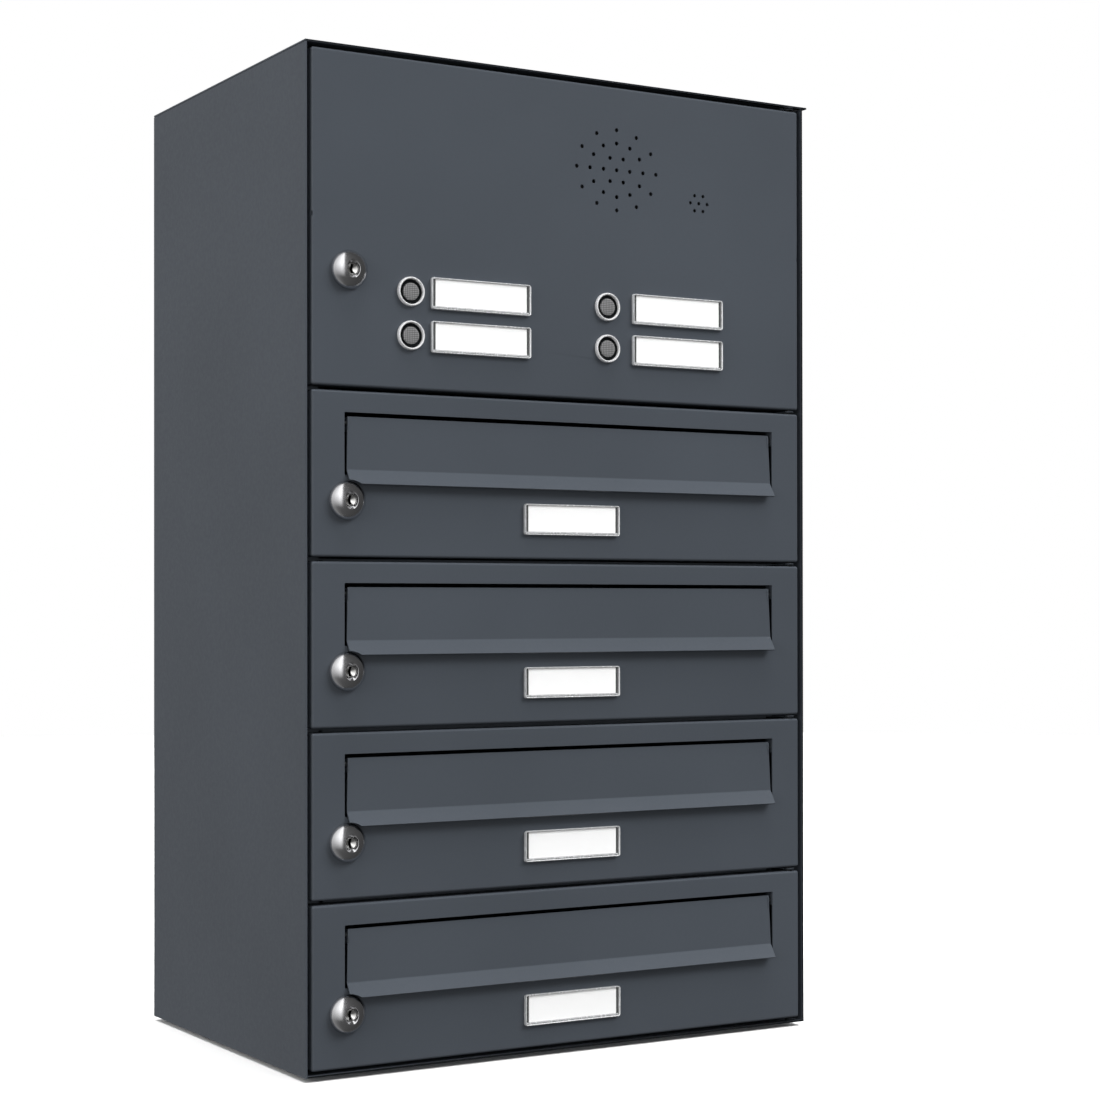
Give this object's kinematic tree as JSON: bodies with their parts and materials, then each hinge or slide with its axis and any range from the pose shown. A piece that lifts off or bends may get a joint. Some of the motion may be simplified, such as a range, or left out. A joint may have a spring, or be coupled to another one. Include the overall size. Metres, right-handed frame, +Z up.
{
  "type": "cluster mailbox unit",
  "caption": "Wall-mounted sheet-steel mailbox cluster: letter boxes with flaps and locks under a bell and intercom compartment.",
  "frame": {"origin": "middle of the casing's underside, halfway between its front edge and its back face", "axes": "+Z up, +Y towards the wall, +X to the right as seen from the front"},
  "size_m": [0.396, 0.2776, 0.6625],
  "materials": {
    "anthracite_paint": "anthracite powder coat, fine texture, satin",
    "polished_steel": "polished stainless steel",
    "galvanised_steel": "bright zinc plate",
    "brass": "nickel-plated lock plug",
    "clear_window": "clear moulded plastic window",
    "grey_button": "grey cap, finely dotted",
    "black_housing": "black moulded plastic"
  },
  "bodies": {
    "casing": {"left_side_panel": "anthracite_paint", "right_side_panel": "anthracite_paint", "roof_panel": "anthracite_paint", "base_panel": "anthracite_paint", "back_panel": "anthracite_paint", "shelf_1": "anthracite_paint", "shelf_2": "anthracite_paint", "shelf_3": "anthracite_paint", "shelf_4": "anthracite_paint", "strike_strip": "anthracite_paint", "hinge_rod": "anthracite_paint"},
    "intercom_door": {"intercom_door": "anthracite_paint", "intercom_lock_housing": "polished_steel", "bell_window_1": "clear_window", "bell_window_2": "clear_window", "bell_window_3": "clear_window", "bell_window_4": "clear_window", "bell_ring_1": "polished_steel", "bell_ring_2": "polished_steel", "bell_ring_3": "polished_steel", "bell_ring_4": "polished_steel", "speech_housing": "black_housing", "speech_cover": "black_housing", "speaker_driver": "black_housing", "microphone_capsule": "galvanised_steel"},
    "intercom_lock": {"intercom_lock_plug": "brass", "intercom_lock_cam": "galvanised_steel"},
    "bell_button_1": {"bell_cap_1": "grey_button"},
    "bell_button_2": {"bell_cap_2": "grey_button"},
    "bell_button_3": {"bell_cap_3": "grey_button"},
    "bell_button_4": {"bell_cap_4": "grey_button"},
    "mailbox_door_1": {"mailbox_door_1": "anthracite_paint", "flap_rod_1": "galvanised_steel", "mailbox_lock_housing_1": "polished_steel", "name_window_1": "clear_window"},
    "letter_flap_1": {"letter_flap_1": "anthracite_paint"},
    "mailbox_lock_1": {"mailbox_lock_plug_1": "brass", "mailbox_lock_cam_1": "galvanised_steel"},
    "mailbox_door_2": {"mailbox_door_2": "anthracite_paint", "flap_rod_2": "galvanised_steel", "mailbox_lock_housing_2": "polished_steel", "name_window_2": "clear_window"},
    "letter_flap_2": {"letter_flap_2": "anthracite_paint"},
    "mailbox_lock_2": {"mailbox_lock_plug_2": "brass", "mailbox_lock_cam_2": "galvanised_steel"},
    "mailbox_door_3": {"mailbox_door_3": "anthracite_paint", "flap_rod_3": "galvanised_steel", "mailbox_lock_housing_3": "polished_steel", "name_window_3": "clear_window"},
    "letter_flap_3": {"letter_flap_3": "anthracite_paint"},
    "mailbox_lock_3": {"mailbox_lock_plug_3": "brass", "mailbox_lock_cam_3": "galvanised_steel"},
    "mailbox_door_4": {"mailbox_door_4": "anthracite_paint", "flap_rod_4": "galvanised_steel", "mailbox_lock_housing_4": "polished_steel", "name_window_4": "clear_window"},
    "letter_flap_4": {"letter_flap_4": "anthracite_paint"},
    "mailbox_lock_4": {"mailbox_lock_plug_4": "brass", "mailbox_lock_cam_4": "galvanised_steel"}
  },
  "joints": [
    {"name": "intercom_door_hinge", "type": "hinge", "parent": "casing", "child": "intercom_door", "pos_m": [0.1858, -0.131, 0.5508], "axis": [0, 0, 1], "range_deg": [0, 110]},
    {"name": "intercom_lock_turn", "type": "hinge", "parent": "intercom_door", "child": "intercom_lock", "pos_m": [-0.1655, -0.135, 0.5173], "axis": [0, 1, 0], "range_deg": [0, 90]},
    {"name": "bell_press_1", "type": "slide", "parent": "intercom_door", "child": "bell_button_1", "axis": [0, 1, 0], "range_m": [0, 0.0015], "stiffness_N_per_m": 800},
    {"name": "bell_press_2", "type": "slide", "parent": "intercom_door", "child": "bell_button_2", "axis": [0, 1, 0], "range_m": [0, 0.0015], "stiffness_N_per_m": 800},
    {"name": "bell_press_3", "type": "slide", "parent": "intercom_door", "child": "bell_button_3", "axis": [0, 1, 0], "range_m": [0, 0.0015], "stiffness_N_per_m": 800},
    {"name": "bell_press_4", "type": "slide", "parent": "intercom_door", "child": "bell_button_4", "axis": [0, 1, 0], "range_m": [0, 0.0015], "stiffness_N_per_m": 800},
    {"name": "mailbox_door_hinge_1", "type": "hinge", "parent": "casing", "child": "mailbox_door_1", "pos_m": [0.1858, -0.131, 0.3858], "axis": [0, 0, 1], "range_deg": [0, 110]},
    {"name": "letter_flap_hinge_1", "type": "hinge", "parent": "mailbox_door_1", "child": "letter_flap_1", "pos_m": [0, -0.13, 0.4189], "axis": [-1, 0, 0], "range_deg": [0, 80]},
    {"name": "mailbox_lock_turn_1", "type": "hinge", "parent": "mailbox_door_1", "child": "mailbox_lock_1", "pos_m": [-0.167, -0.135, 0.3687], "axis": [0, 1, 0], "range_deg": [0, 90]},
    {"name": "mailbox_door_hinge_2", "type": "hinge", "parent": "casing", "child": "mailbox_door_2", "pos_m": [0.1858, -0.131, 0.2758], "axis": [0, 0, 1], "range_deg": [0, 110]},
    {"name": "letter_flap_hinge_2", "type": "hinge", "parent": "mailbox_door_2", "child": "letter_flap_2", "pos_m": [0, -0.13, 0.3089], "axis": [-1, 0, 0], "range_deg": [0, 80]},
    {"name": "mailbox_lock_turn_2", "type": "hinge", "parent": "mailbox_door_2", "child": "mailbox_lock_2", "pos_m": [-0.167, -0.135, 0.2587], "axis": [0, 1, 0], "range_deg": [0, 90]},
    {"name": "mailbox_door_hinge_3", "type": "hinge", "parent": "casing", "child": "mailbox_door_3", "pos_m": [0.1858, -0.131, 0.1658], "axis": [0, 0, 1], "range_deg": [0, 110]},
    {"name": "letter_flap_hinge_3", "type": "hinge", "parent": "mailbox_door_3", "child": "letter_flap_3", "pos_m": [0, -0.13, 0.1989], "axis": [-1, 0, 0], "range_deg": [0, 80]},
    {"name": "mailbox_lock_turn_3", "type": "hinge", "parent": "mailbox_door_3", "child": "mailbox_lock_3", "pos_m": [-0.167, -0.135, 0.1487], "axis": [0, 1, 0], "range_deg": [0, 90]},
    {"name": "mailbox_door_hinge_4", "type": "hinge", "parent": "casing", "child": "mailbox_door_4", "pos_m": [0.1858, -0.131, 0.0558], "axis": [0, 0, 1], "range_deg": [0, 110]},
    {"name": "letter_flap_hinge_4", "type": "hinge", "parent": "mailbox_door_4", "child": "letter_flap_4", "pos_m": [0, -0.13, 0.0889], "axis": [-1, 0, 0], "range_deg": [0, 80]},
    {"name": "mailbox_lock_turn_4", "type": "hinge", "parent": "mailbox_door_4", "child": "mailbox_lock_4", "pos_m": [-0.167, -0.135, 0.0387], "axis": [0, 1, 0], "range_deg": [0, 90]}
  ]
}
